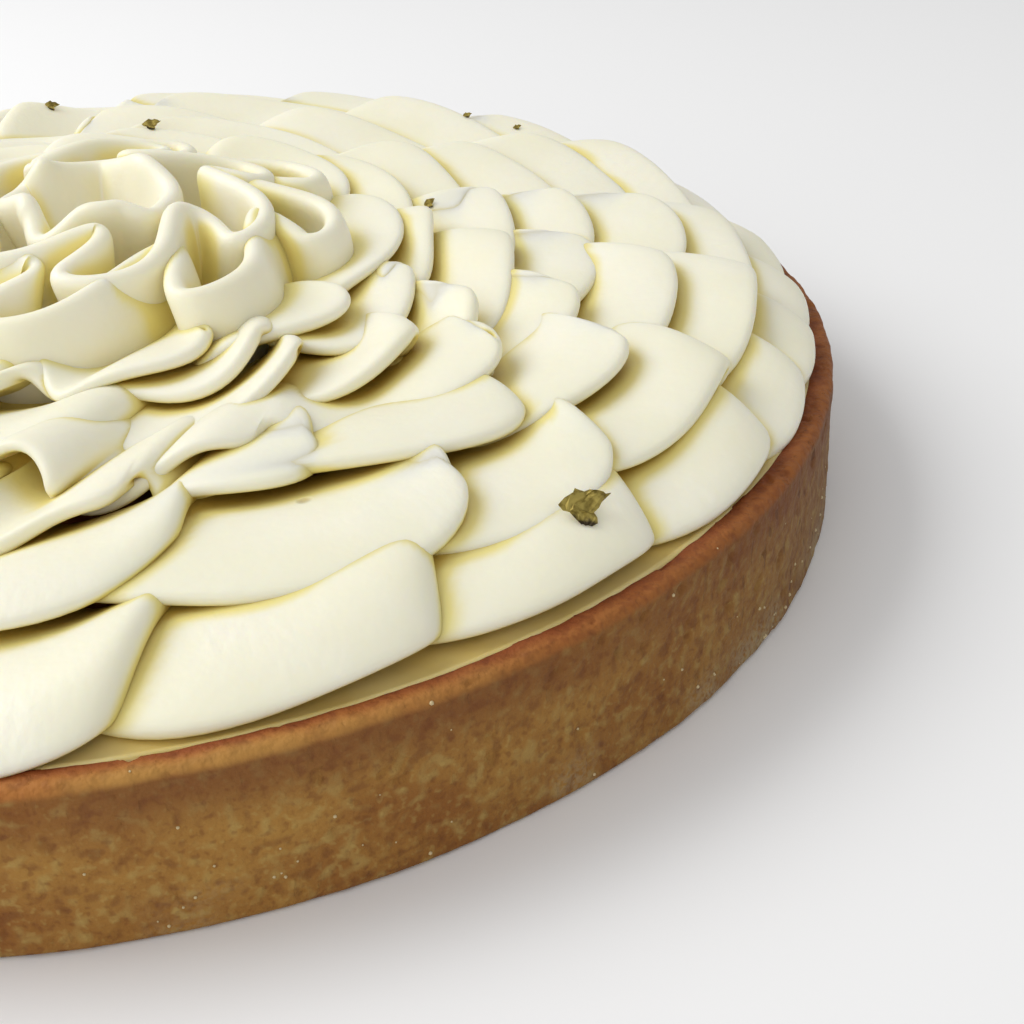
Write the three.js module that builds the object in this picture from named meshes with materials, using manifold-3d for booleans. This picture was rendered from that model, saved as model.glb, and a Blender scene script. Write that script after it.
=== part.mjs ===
// A lemon tart: a round pastry shell, its baked filling, a band of lemon cream inside the rim,
// and whipped cream piped in seven rings of leaning folds around an upright rosette.
// Sizes are millimetres and +Z is up. The tart stands on z = 0, centred on the Z axis.
import * as THREE from 'three';
import { mergeVertices } from 'three/addons/utils/BufferGeometryUtils.js';
import Module from 'manifold-3d';

// Room between neighbouring pieces
const GAP = 0.3;

// Pastry shell
const SHELL_RADIUS = 100;
const SHELL_HEIGHT = 19.6;
const WALL = 3.6;
const SHELL_FLOOR = 3.2;
const RIM_ROUND = 1.1;
const FOOT_ROUND = 0.9;
const WALL_UNEVEN = 0.45;
const RIM_UNEVEN = 0.35;
const INNER_RADIUS = SHELL_RADIUS - WALL;

// Filling and the band of lemon cream inside the rim
const FILLING_RADIUS = INNER_RADIUS - GAP;
const FILLING_TOP = SHELL_HEIGHT - 1.2;
const BAND_INNER = 84;
const BAND_TOP = SHELL_HEIGHT - 0.4;
const BAND_DEPTH = 2.6;

// Cream: the widest radius it may reach, and the heap under the folds as radius, height over the rim
const CREAM_RADIUS = INNER_RADIUS - GAP;
const HEAP = [[0, 11.5], [26, 7.5], [40, 6.5], [64, 4], [80, 1]];
const CREAM_CEILING = 60;

// Flat sides of what is turned, the length of one step along a fold, how far a fold's ends curl into
// the turn, and the places across a ribbon that have points. Then how exactly the joined cream keeps
// its form, how far pinched corners part, the area that counts as none, and how alike the directions
// of a triangle stay.
const SEGMENTS = 72;
const HEAP_SEGMENTS = 24;
const ROOM_SEGMENTS = 48;
const STEP_LENGTH = 7;
const LEAST_STEPS = 3;
const CURL = 0.07;
const ACROSS = [0.05, 0.5, 1];
const WALL_STEPS = 5;
const TOLERANCE = 0.36;
const PINCH_MOVE = 0.06;
const SLIVER = 1e-3;
const LEAST_AGREEMENT = 0.4;

const TAU = 2 * Math.PI;
const DEGREE = Math.PI / 180;

// One ring of folds for each entry. A fold is its angle, how far its crest leans over the next fold,
// both in degrees, and how far the lip draws in under the crest. more is the count of folds of a
// steady rhythm that close the ring between the last fold and the first.
// edge and root are the radii of the free lip and of the root, edgeUp, midUp and rootUp their
// heights over the rim. edgeLift, midLift and rootLift say how far a crest rises there.
// neck is how far a lobe closes behind its head, full how long the lip stays in or out, lean how
// many degrees a crest slants across the ribbon. outPhase is where in a fold the lip is furthest in,
// and at the front it comes earlier by lag. There the whole ribbon lies further in by front.
const LYING = {
  lean: 15, neck: 0, full: 0.6, outPhase: 0.3, lag: 0.8, front: 0, reachRoot: 0.3, rootFold: 0.15,
  midOut: 0, thickRoot: 3.4, thickEdge: 2, flutter: 0.9, edgeLift: 1.8, midLift: 2, rootLift: 0.5,
};
const STANDING = {
  lean: 0, neck: 2.5, full: 0, outPhase: -1.4, lag: 0, front: 0, reachRoot: 0.4, rootFold: 0.5,
  midOut: 6, thickRoot: 4.4, thickEdge: 2.4, flutter: 0.6, edgeLift: 1.2, midLift: 0.5, rootLift: 0.5,
};
const RINGS = [
  { ...LYING, seed: 1, edge: 96, root: 74, edgeUp: 1.1, midUp: 7.5, rootUp: 0.5, lean: 10, front: 0.8,
    outPhase: 0.4, lag: 0, edgeLift: 0.6, midLift: 2.2, flutter: 0.3, more: 17,
    folds: [[264, 5.5, 8], [284, 6, 8], [301.5, 5, 7], [317.5, 5, 7], [328.5, 4, 7], [337, 4, 7],
      [347, 4.5, 7], [359, 4.5, 7]] },
  { ...LYING, seed: 2, edge: 90, root: 64, edgeUp: 6, midUp: 8.5, rootUp: 2, lean: 13, front: 8,
    edgeLift: 1.6, flutter: 0.7, more: 12,
    folds: [[268, 9, 13], [290.5, 8.5, 10], [304.5, 5, 4], [322.5, 5, 4], [341, 6, 5], [356, 6, 6]] },
  { ...LYING, seed: 3, edge: 80, root: 55, edgeUp: 8, midUp: 9.5, rootUp: 3, front: 15, more: 9,
    folds: [[252, 5, 4], [271, 1, 5], [281, 11, 8], [304, 7, 7], [319, 6, 4], [341, 6, 5], [358, 6, 5]] },
  { ...LYING, seed: 4, edge: 67.5, root: 45, edgeUp: 9, midUp: 10, rootUp: 3.5, front: 8, more: 8,
    folds: [[261, 4, 1], [286, 1.5, 4], [315, 6, 5], [331, 5, 4], [346, 7, 5], [359, 7, 5]] },
  { ...LYING, seed: 5, edge: 57, root: 36, edgeUp: 10, midUp: 10.5, rootUp: 4, lean: 16, front: 5, more: 6,
    folds: [[265, 6, 4], [295, 9, 14], [310, 4, 5], [323, 6, 5], [346, 8, 5], [362, 8, 5]] },
  { ...LYING, seed: 6, edge: 46, root: 26, edgeUp: 11.5, midUp: 10.5, rootUp: 4.5, lean: 16, front: 2,
    midLift: 1.8, more: 5,
    folds: [[256, 3, 8], [298, 5, 6], [331, 9, 4], [358, 7, 4]] },
  { ...LYING, seed: 7, edge: 41, root: 20, edgeUp: 12.5, midUp: 11, rootUp: 5, lean: 10, edgeLift: 1.4,
    midLift: 1.5, flutter: 0.8, more: 5,
    folds: [[253, 3, 5], [286, 9, 7], [318, 8, 5]] },
];
const ROSETTE = [
  { ...STANDING, seed: 8, edge: 32.5, root: 27, edgeUp: 18, midUp: 10, rootUp: 3, more: 4,
    folds: [[242, 11, 12], [292, 14, 15], [332, 6, 8], [372, 10, 12]] },
  { ...STANDING, seed: 9, edge: 25, root: 17, edgeUp: 20, midUp: 12, rootUp: 4, neck: 3, midOut: 3, more: 4,
    folds: [[264, 16, 11], [318, 10, 8], [372, 12, 9]] },
  { ...STANDING, seed: 10, edge: 11.5, root: 6, edgeUp: 21.5, midUp: 12, rootUp: 12, neck: 0, midOut: 0,
    reachRoot: 0.2, flutter: 0.5, edgeLift: 1, midLift: 0, more: 2,
    folds: [[300, 5, 2], [420, 5, 2]] },
];
// The direction of the front, how narrow it is, and how much taller the far side of the cream stands
const FRONT = 268;
const FRONT_NARROW = 10;
const FAR_RISE = 5;

// A crumpled flake of gold leaf on the widest ring: its place along and across the ribbon
const FLAKE = { t: 1.59, v: 0.7, wide: 6.2, deep: 4.6, sunk: 1, low: 0.2, crumple: 0.8 };

const wasm = await Module();
wasm.setup();

// A smooth closed wobble of about -1 to 1 along a ring of n folds, another one for each seed
function wobble(t, n, seed) {
  const shares = [0.27, 0.41, 0.67];
  let total = 0;
  shares.forEach((share, i) => {
    const order = 1 + Math.floor(share * n) + ((seed + i) % 2);
    total += Math.sin((TAU * order * t) / n + seed * (1.3 + 1.7 * i) + i);
  });
  return total / 2;
}

// The folds of a whole ring: those of its list, then the steady ones that close the ring
function wholeRing(ring) {
  const [first, last] = [ring.folds[0], ring.folds.at(-1)];
  const mean = (k) => ring.folds.reduce((sum, fold) => sum + fold[k], 0) / ring.folds.length;
  const [swing, reach] = [mean(1), mean(2)];
  const gap = first[0] + 360 - last[0];
  const steady = Array.from({ length: ring.more }, (_, k) => {
    const vary = Math.sin(2.4 * k + ring.seed);
    const other = Math.sin(1.7 * k + 2 * ring.seed);
    const share = (k + 1 + 0.12 * vary) / (ring.more + 1);
    return [last[0] + gap * share, swing * (1 + 0.3 * other), reach * (1 + 0.2 * vary)];
  });
  return { ...ring, folds: [...ring.folds, ...steady] };
}

// A value that runs smoothly through those of a closed ring of folds. A full turn adds wrap.
function between(folds, key, t, wrap) {
  const n = folds.length;
  const i = Math.floor(t);
  const f = t - i;
  const [p, q, r, s] = [-1, 0, 1, 2].map((k) => {
    const turns = Math.floor((i + k) / n);
    return folds[i + k - n * turns][key] + wrap * turns;
  });
  return q + 0.5 * f * (r - p + f * (2 * p - 5 * q + 4 * r - s + f * (3 * q - p - 3 * r + s)));
}

// Point of a ribbon's middle surface. t counts folds anticlockwise, v runs from root 0 to lip 1.
function ribbonPoint(t, v, ring) {
  const n = ring.folds.length;
  const seed = ring.seed;
  const phase = TAU * (t - Math.floor(t));
  const base = between(ring.folds, 0, t, 360);
  const swing = between(ring.folds, 1, t, 0);
  const reach = between(ring.folds, 2, t, 0);
  const grow = ring.rootFold + (1 - ring.rootFold) * v ** 1.2;
  const sway = swing * Math.sin(phase) + ring.neck * Math.sin(2 * phase);
  const angle = (base - grow * sway + ring.lean * (1 - v)) * DEGREE;
  const near = (0.5 + 0.5 * Math.cos(angle - FRONT * DEGREE)) ** FRONT_NARROW;
  const wave = 0.5 + 0.5 * Math.cos(phase - ring.outPhase + ring.lag * near);
  const drawnIn = reach * (wave + ring.full * (wave * wave * (3 - 2 * wave) - wave));
  const crest = -Math.sin(phase);
  const further = 0.7 * ring.flutter * wobble(2 * t, 2 * n, seed + 6);
  const edge = ring.edge - drawnIn + further - ring.front * near;
  const root = ring.root - ring.reachRoot * drawnIn - ring.front * near;
  const middle = 0.5 * (edge + root) + ring.midOut;
  const edgeUp = ring.edgeUp + ring.edgeLift * crest + ring.flutter * wobble(2 * t, 2 * n, seed + 7);
  const rootUp = ring.rootUp + ring.rootLift * crest;
  const midUp = ring.midUp + ring.midLift * crest;
  const [a, b, c] = [(1 - v) ** 2, 2 * v * (1 - v), v ** 2];
  const radius = a * root + b * middle + c * edge;
  const farRise = FAR_RISE * v * (0.5 + 0.5 * Math.sin(angle)) ** 2;
  const up = a * rootUp + b * midUp + c * edgeUp + farRise;
  return new THREE.Vector3(radius * Math.cos(angle), radius * Math.sin(angle), SHELL_HEIGHT + up);
}

// The point, its unit normal and the unit direction towards the lip
function ribbonFrame(t, v, ring) {
  const step = 1e-3;
  const inner = Math.min(v, 1 - step);
  const point = ribbonPoint(t, v, ring);
  const along = ribbonPoint(t + step, v, ring).sub(ribbonPoint(t - step, v, ring));
  const across = ribbonPoint(t, inner + step, ring).sub(ribbonPoint(t, inner - step, ring)).normalize();
  const normal = across.clone().cross(along).normalize();
  return { point, normal, across };
}

// Closed outline of a ribbon's cross-section at t: the upper side from root to lip, then the
// lower edge of the lip and of the root, with the hollow under the ribbon's bow filled
function ribbonSection(t, ring) {
  const outline = [];
  for (const [v, side] of [...ACROSS.map((v) => [v, 0.5]), [ACROSS.at(-1), -0.5], [ACROSS[0], -0.5]]) {
    const { point, normal } = ribbonFrame(t, v, ring);
    const thick = ring.thickRoot + (ring.thickEdge - ring.thickRoot) * v;
    outline.push(point.addScaledVector(normal, side * thick));
  }
  return outline;
}

// Turns vertices and triangles into a solid, with the triangles turned round where they face in
function solidOf(vertices, triangles) {
  const flat = new Float32Array(vertices.flatMap((p) => [p.x, p.y, p.z]));
  let volume = 0;
  for (const [a, b, c] of triangles) {
    volume += vertices[a].dot(vertices[b].clone().cross(vertices[c]));
  }
  const turned = volume < 0 ? triangles.map(([a, b, c]) => [a, c, b]) : triangles;
  return new wasm.Manifold(new wasm.Mesh({
    numProp: 3, vertProperties: flat, triVerts: new Uint32Array(turned.flat()),
  }));
}

// The stretch of a ribbon from t = from to t = to as a closed body
function ribbonPiece(ring, from, to, steps) {
  const vertices = [];
  const triangles = [];
  for (let i = 0; i <= steps; i += 1) {
    vertices.push(...ribbonSection(from + ((to - from) * i) / steps, ring));
  }
  const count = ACROSS.length + 2;
  for (let i = 0; i < steps; i += 1) {
    for (let j = 0; j < count; j += 1) {
      const next = (j + 1) % count;
      const [a, b, c, d] = [i * count + j, (i + 1) * count + j, (i + 1) * count + next, i * count + next];
      triangles.push([a, b, c], [a, c, d]);
    }
  }
  const last = steps * count;
  for (let j = 0; j < count - 2; j += 1) {
    triangles.push([j, j + 1, count - 1]);
    triangles.push([last + j + 1, last + j, last + count - 1]);
  }
  return solidOf(vertices, triangles);
}

// Where in a fold the lip turns back under the crest, as a share of the fold
function turnBack(ring, t) {
  const ahead = between(ring.folds, 0, t + 1, 360);
  const behind = between(ring.folds, 0, t - 1, 360);
  const swing = between(ring.folds, 1, t, 0);
  return Math.acos(Math.min(1, (ahead - behind) / (2 * TAU * swing))) / TAU;
}

// All the folds of one ring: each is the stroke from under one crest to its own crest
function ringPieces(ring) {
  return ring.folds.map((_, i) => {
    const from = i + Math.max(0, turnBack(ring, i) - CURL);
    const to = i + 1 - Math.max(0, turnBack(ring, i + 1) - CURL);
    const length = ribbonPoint(from, 1, ring).distanceTo(ribbonPoint(to, 1, ring));
    return ribbonPiece(ring, from, to, Math.max(LEAST_STEPS, Math.round(length / STEP_LENGTH)));
  });
}

// One standing wall of the rosette, in half lobes
function wallPieces(ring) {
  const pieces = [];
  for (let i = 0; i < 2 * ring.folds.length; i += 1) {
    pieces.push(ribbonPiece(ring, i / 2, (i + 1) / 2, WALL_STEPS));
  }
  return pieces;
}

// A turned geometry whose shared points are merged, so that it is one closed surface
function turned(profile, segments) {
  const points = profile.map(([radius, height]) => new THREE.Vector2(radius, height));
  const geometry = new THREE.LatheGeometry(points, segments);
  geometry.deleteAttribute('normal');
  geometry.deleteAttribute('uv');
  return mergeVertices(geometry, 1e-4);
}

function solidOfGeometry(geometry) {
  const mesh = new wasm.Mesh({
    numProp: 3,
    vertProperties: new Float32Array(geometry.attributes.position.array),
    triVerts: new Uint32Array(geometry.index.array),
  });
  return new wasm.Manifold(mesh);
}

// Quarter round from one point to another around a centre, for rounded edges in a profile
function quarter(centreRadius, centreHeight, size, from, steps = 3) {
  return Array.from({ length: steps + 1 }, (_, i) => {
    const angle = from + ((Math.PI / 2) * i) / steps;
    return [centreRadius + size * Math.cos(angle), centreHeight + size * Math.sin(angle)];
  });
}

// Joins many solids pair by pair
function joined(solids) {
  let list = solids;
  while (list.length > 1) {
    const next = [];
    for (let i = 0; i < list.length; i += 2) {
      next.push(i + 1 < list.length ? list[i].add(list[i + 1]) : list[i]);
    }
    list = next;
  }
  return list[0];
}

// The largest connected skin of a mesh, which leaves sealed hollows filled and drops loose scraps
function outerSkin(solid) {
  const mesh = solid.getMesh();
  const parent = Array.from({ length: mesh.vertProperties.length / 3 }, (_, i) => i);
  const find = (i) => {
    let top = i;
    while (parent[top] !== top) top = parent[top];
    parent[i] = top;
    return top;
  };
  for (let i = 0; i < mesh.triVerts.length; i += 3) {
    parent[find(mesh.triVerts[i])] = find(mesh.triVerts[i + 1]);
    parent[find(mesh.triVerts[i + 1])] = find(mesh.triVerts[i + 2]);
  }
  const groups = new Map();
  for (let i = 0; i < mesh.triVerts.length; i += 3) {
    const key = find(mesh.triVerts[i]);
    if (!groups.has(key)) groups.set(key, []);
    groups.get(key).push(...mesh.triVerts.slice(i, i + 3));
  }
  const skins = [...groups.values()].sort((a, b) => b.length - a.length);
  const geometry = new THREE.BufferGeometry();
  geometry.setAttribute('position', new THREE.BufferAttribute(new Float32Array(mesh.vertProperties), 3));
  geometry.setIndex(skins[0]);
  return geometry;
}

function pointsOf(position) {
  return Array.from({ length: position.count }, (_, i) => new THREE.Vector3().fromBufferAttribute(position, i));
}

// Corners of two sheets that touch in one place go a little apart, each towards its own neighbours
function unpinched(geometry) {
  const position = geometry.attributes.position;
  const points = pointsOf(position);
  const places = new Map();
  points.forEach((point, i) => {
    const key = point.toArray().map((x) => x.toFixed(3)).join();
    places.set(key, [...(places.get(key) ?? []), i]);
  });
  const doubled = new Set([...places.values()].filter((ids) => ids.length > 1).flat());
  const neighbours = new Map([...doubled].map((i) => [i, []]));
  for (let i = 0; i < geometry.index.count; i += 3) {
    const corners = [0, 1, 2].map((k) => geometry.index.getX(i + k));
    for (const corner of corners.filter((v) => doubled.has(v))) {
      neighbours.get(corner).push(...corners.filter((v) => v !== corner));
    }
  }
  for (const [vertex, around] of neighbours) {
    const mean = new THREE.Vector3();
    around.forEach((v) => mean.addScaledVector(points[v], 1 / around.length));
    const move = mean.sub(points[vertex]).clampLength(0, PINCH_MOVE);
    position.setXYZ(vertex, ...points[vertex].clone().add(move).toArray());
  }
  return geometry;
}

// Fewer triangles for the same form: a vertex moves onto a neighbour where every triangle round it
// keeps its plane within the tolerance, none folds over and the skin doesn't pinch
function simplified(geometry, tolerance) {
  const points = pointsOf(geometry.attributes.position);
  const triangles = [];
  const touching = points.map(() => new Set());
  for (let i = 0; i < geometry.index.count; i += 3) {
    triangles.push([0, 1, 2].map((k) => geometry.index.getX(i + k)));
    triangles.at(-1).forEach((vertex) => touching[vertex].add(triangles.length - 1));
  }
  const neighbours = (vertex) => {
    const around = [...touching[vertex]].flatMap((index) => triangles[index]);
    return new Set(around.filter((v) => v !== vertex));
  };
  const planeOf = ([a, b, c]) => {
    const normal = points[b].clone().sub(points[a]).cross(points[c].clone().sub(points[a]));
    return { size: normal.length(), normal: normal.normalize() };
  };
  const cost = (gone, kept) => {
    let worst = 0;
    for (const index of touching[gone]) {
      const triangle = triangles[index];
      const before = planeOf(triangle);
      if (before.size > SLIVER) {
        worst = Math.max(worst, Math.abs(before.normal.dot(points[kept].clone().sub(points[triangle[0]]))));
      }
      if (!triangle.includes(kept)) {
        const after = planeOf(triangle.map((v) => (v === gone ? kept : v)));
        const folded = before.size > SLIVER && after.normal.dot(before.normal) < LEAST_AGREEMENT;
        if (after.size < SLIVER || folded) return Infinity;
      }
    }
    return worst;
  };
  const canClose = (gone, kept) => {
    const shared = [...neighbours(gone)].filter((v) => neighbours(kept).has(v));
    return shared.length === 2;
  };
  let closed = 1;
  while (closed > 0) {
    closed = 0;
    const moves = [];
    for (let gone = 0; gone < points.length; gone += 1) {
      let best = [tolerance, -1];
      for (const kept of touching[gone].size > 0 ? neighbours(gone) : []) {
        const price = cost(gone, kept);
        if (price < best[0]) best = [price, kept];
      }
      if (best[1] >= 0) moves.push([best[0], gone, best[1]]);
    }
    moves.sort((p, q) => p[0] - q[0]);
    const settled = new Set();
    for (const [, gone, kept] of moves) {
      const around = [gone, kept, ...neighbours(gone)];
      if (around.some((v) => settled.has(v)) || !canClose(gone, kept)) continue;
      for (const index of [...touching[gone]]) {
        const triangle = triangles[index];
        if (triangle.includes(kept)) {
          triangle.forEach((v) => touching[v].delete(index));
          triangles[index] = null;
        } else {
          triangles[index] = triangle.map((v) => (v === gone ? kept : v));
          touching[gone].delete(index);
          touching[kept].add(index);
        }
      }
      around.forEach((v) => settled.add(v));
      closed += 1;
    }
  }
  const used = new Map();
  const index = triangles.filter(Boolean).flat().map((v) => {
    if (!used.has(v)) used.set(v, used.size);
    return used.get(v);
  });
  const slim = new THREE.BufferGeometry().setFromPoints([...used.keys()].map((v) => points[v]));
  slim.setIndex(index);
  return slim;
}

// The pastry shell: a turned cup with rounded rim, its wall and rim slightly uneven. The waves
// have even counts, so opposite sides are alike and the shell stays centred on the axis.
function shellGeometry() {
  const profile = [
    [0, 0],
    ...quarter(SHELL_RADIUS - FOOT_ROUND, FOOT_ROUND, FOOT_ROUND, -Math.PI / 2),
    [SHELL_RADIUS, SHELL_HEIGHT / 2],
    ...quarter(SHELL_RADIUS - RIM_ROUND, SHELL_HEIGHT - RIM_ROUND, RIM_ROUND, 0),
    ...quarter(INNER_RADIUS + RIM_ROUND, SHELL_HEIGHT - RIM_ROUND, RIM_ROUND, Math.PI / 2),
    [INNER_RADIUS, SHELL_FLOOR],
    [0, SHELL_FLOOR],
  ];
  const geometry = turned(profile, SEGMENTS);
  geometry.rotateX(Math.PI / 2);
  const position = geometry.attributes.position;
  for (let i = 0; i < position.count; i += 1) {
    const [x, y, z] = [position.getX(i), position.getY(i), position.getZ(i)];
    const radius = Math.hypot(x, y);
    const angle = Math.atan2(y, x);
    const waves = Math.sin(6 * angle + 1) + Math.sin(10 * angle + 2) + Math.sin(22 * angle);
    const outer = radius > INNER_RADIUS + 0.6 * WALL ? 1 : 0;
    const dent = (outer * WALL_UNEVEN * (3 + waves)) / 6;
    const high = z > 0.7 * SHELL_HEIGHT ? 1 : 0;
    const dip = (high * RIM_UNEVEN * (5 + Math.sin(8 * angle) + Math.sin(14 * angle + 2) + waves)) / 10;
    const share = radius > 0 ? (radius - dent * (z > 0 ? 1 : 0.5)) / radius : 1;
    position.setXYZ(i, x * share, y * share, z - dip);
  }
  return geometry;
}

function fillingGeometry() {
  const step = BAND_INNER - GAP;
  const profile = [
    [0, SHELL_FLOOR + GAP],
    [FILLING_RADIUS, SHELL_FLOOR + GAP],
    [FILLING_RADIUS, BAND_TOP - BAND_DEPTH - GAP],
    [step, BAND_TOP - BAND_DEPTH - GAP],
    [step, FILLING_TOP],
    [0, FILLING_TOP],
  ];
  return turned(profile, SEGMENTS).rotateX(Math.PI / 2);
}

function bandGeometry() {
  const [low, high] = [BAND_TOP - BAND_DEPTH, BAND_TOP];
  const corners = [[BAND_INNER, low], [FILLING_RADIUS, low], [FILLING_RADIUS, high], [BAND_INNER, high]];
  const profile = [...corners, corners[0]];
  return turned(profile, SEGMENTS).rotateX(Math.PI / 2);
}

// The flake: a grid of points on the fold, with a ragged outline and a crumpled top
function flakeSolid() {
  const { point, normal, across } = ribbonFrame(FLAKE.t, FLAKE.v, wholeRing(RINGS[0]));
  const along = across.clone().cross(normal);
  const half = 0.25 * (RINGS[0].thickRoot + RINGS[0].thickEdge);
  const [columns, rows] = [4, 3];
  const vertices = [];
  for (const top of [1, 0]) {
    for (let i = 0; i < columns; i += 1) {
      for (let j = 0; j < rows; j += 1) {
        const ragged = 1 + 0.22 * Math.sin(3 * i + 5 * j);
        const x = (i / (columns - 1) - 0.5) * FLAKE.wide * ragged;
        const y = (j / (rows - 1) - 0.5) * FLAKE.deep * (1 - 0.25 * ((i + j) % 2));
        const creased = FLAKE.low + FLAKE.crumple * (0.5 + 0.5 * Math.sin(2.4 * i + 1.9 * j));
        const z = half + (top ? creased : -FLAKE.sunk);
        const spot = point.clone().addScaledVector(along, x).addScaledVector(across, y);
        vertices.push(spot.addScaledVector(normal, z));
      }
    }
  }
  const under = columns * rows;
  const triangles = [];
  for (let i = 0; i < columns - 1; i += 1) {
    for (let j = 0; j < rows - 1; j += 1) {
      const [a, b, c, d] = [i * rows + j, (i + 1) * rows + j, (i + 1) * rows + j + 1, i * rows + j + 1];
      triangles.push([a, b, c], [a, c, d]);
      triangles.push([a + under, c + under, b + under], [a + under, d + under, c + under]);
    }
  }
  const rim = [
    ...Array.from({ length: columns }, (_, i) => i * rows),
    ...Array.from({ length: rows - 1 }, (_, j) => (columns - 1) * rows + j + 1),
    ...Array.from({ length: columns - 1 }, (_, i) => (columns - 2 - i) * rows + rows - 1),
    ...Array.from({ length: rows - 2 }, (_, j) => rows - 2 - j),
  ];
  rim.forEach((a, i) => {
    const b = rim[(i + 1) % rim.length];
    triangles.push([b, a, a + under], [b, a + under, b + under]);
  });
  return solidOf(vertices, triangles);
}

// The heap under the folds, and the room in which all the cream has to stay
function heapSolid() {
  const top = HEAP.map(([radius, up]) => [radius, SHELL_HEIGHT + up]).reverse();
  const profile = [[0, FILLING_TOP], [HEAP.at(-1)[0], FILLING_TOP], ...top];
  return solidOfGeometry(turned(profile, HEAP_SEGMENTS).rotateX(Math.PI / 2));
}

function creamRoom() {
  const profile = [
    [0, FILLING_TOP + GAP],
    [BAND_INNER - GAP, FILLING_TOP + GAP],
    [BAND_INNER - GAP, BAND_TOP + GAP],
    [CREAM_RADIUS, BAND_TOP + GAP],
    [CREAM_RADIUS, CREAM_CEILING],
    [0, CREAM_CEILING],
  ];
  return solidOfGeometry(turned(profile, ROOM_SEGMENTS).rotateX(Math.PI / 2));
}

function creamGeometry() {
  const lying = RINGS.map(wholeRing).flatMap(ringPieces);
  const standing = ROSETTE.map(wholeRing).flatMap(wallPieces);
  const pieces = [heapSolid(), ...lying, ...standing, flakeSolid()];
  const skin = simplified(unpinched(outerSkin(joined(pieces))), TOLERANCE);
  return unpinched(outerSkin(solidOfGeometry(skin).intersect(creamRoom())));
}

function subPart(name, geometry, color, roughness) {
  const mesh = new THREE.Mesh(geometry, new THREE.MeshStandardMaterial({ color, roughness, metalness: 0 }));
  mesh.name = name;
  return mesh;
}

const tart = new THREE.Group();
tart.add(subPart('pastry_shell', shellGeometry(), 0x9a6433, 0.75));
tart.add(subPart('baked_filling', fillingGeometry(), 0x8a5230, 0.7));
tart.add(subPart('lemon_band', bandGeometry(), 0xe6dca8, 0.5));
tart.add(subPart('ruffled_cream', creamGeometry(), 0xf2f0d7, 0.45));

export default tart;
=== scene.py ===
# %% [markdown]
# # A lemon tart under piped cream
# The tart is a straight pastry shell with a browned filling, a band of lemon cream inside the rim,
# and whipped cream piped through a flat nozzle: seven rings of folds that lean outwards, round an
# upright rosette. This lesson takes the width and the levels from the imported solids, grows the
# visible pieces over them and gives each its finish.

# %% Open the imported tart
import math

import bpy
import numpy as np
from mathutils import Matrix, Vector
from mathutils.bvhtree import BVHTree


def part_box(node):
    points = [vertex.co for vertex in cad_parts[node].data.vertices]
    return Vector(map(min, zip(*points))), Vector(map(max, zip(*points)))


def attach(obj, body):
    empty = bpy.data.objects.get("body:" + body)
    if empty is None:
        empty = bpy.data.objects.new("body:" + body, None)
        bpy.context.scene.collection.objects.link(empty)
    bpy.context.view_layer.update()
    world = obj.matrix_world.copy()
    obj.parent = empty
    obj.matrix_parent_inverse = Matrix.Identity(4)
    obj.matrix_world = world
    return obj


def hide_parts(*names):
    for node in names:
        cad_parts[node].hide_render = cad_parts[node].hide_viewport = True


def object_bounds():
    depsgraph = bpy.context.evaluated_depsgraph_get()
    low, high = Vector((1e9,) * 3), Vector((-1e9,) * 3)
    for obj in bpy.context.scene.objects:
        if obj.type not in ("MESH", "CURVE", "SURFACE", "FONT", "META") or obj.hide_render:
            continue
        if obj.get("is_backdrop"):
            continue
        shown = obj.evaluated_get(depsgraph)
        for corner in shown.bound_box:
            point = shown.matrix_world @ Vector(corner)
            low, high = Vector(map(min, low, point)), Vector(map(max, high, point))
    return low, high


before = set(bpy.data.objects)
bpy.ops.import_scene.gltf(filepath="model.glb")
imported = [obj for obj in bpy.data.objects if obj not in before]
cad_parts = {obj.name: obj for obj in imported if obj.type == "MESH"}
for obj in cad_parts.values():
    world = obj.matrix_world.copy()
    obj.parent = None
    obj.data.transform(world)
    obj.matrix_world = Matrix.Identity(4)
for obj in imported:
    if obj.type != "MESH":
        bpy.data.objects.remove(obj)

cad_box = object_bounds()


def say_box(name, box):
    """Prints the lowest and the highest corner of a box, in metres."""
    low, high = ([round(x, 4) for x in corner] for corner in box)
    print(name, "from", low, "to", high)


say_box("the solids reach", cad_box)

# %% [markdown]
# ## The sizes
# Everything hangs on a few sizes: the radius and height of the shell, and the rim's inner radius.
# The solid's circle has many short sides, so its box falls a hair short of the radius, and rounding
# to whole millimetres gives it. The band of lemon cream ends a hair below the rim, so its top gives
# the rim's level. The wall is as thin as that of the solid.

# %% Take the main sizes from the solids
MM = 0.001
TAU = 2 * math.pi
shell_low, shell_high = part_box("pastry_shell")
band_low, band_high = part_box("lemon_band")
filling_low, filling_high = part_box("baked_filling")
RADIUS = round((shell_high[1] - shell_low[1]) / 2, 3)
WALL = 3.6 * MM
INNER = RADIUS - WALL
RIM = band_high[2] + 0.4 * MM
for name, level in (("rim", RIM), ("band", band_high[2]), ("filling", filling_high[2])):
    print(f"the {name} is {level / MM:.1f} mm high")
print(f"the shell is {(shell_high[0] - shell_low[0]) / MM:.1f} mm wide")

# %% [markdown]
# ## A socket that can be calculated with
# Node trees are sums drawn as boxes. A small class wraps a socket, so that Python's own signs add
# the Math nodes, and one method adds any other node: its type, its settings, then its sockets.

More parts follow.
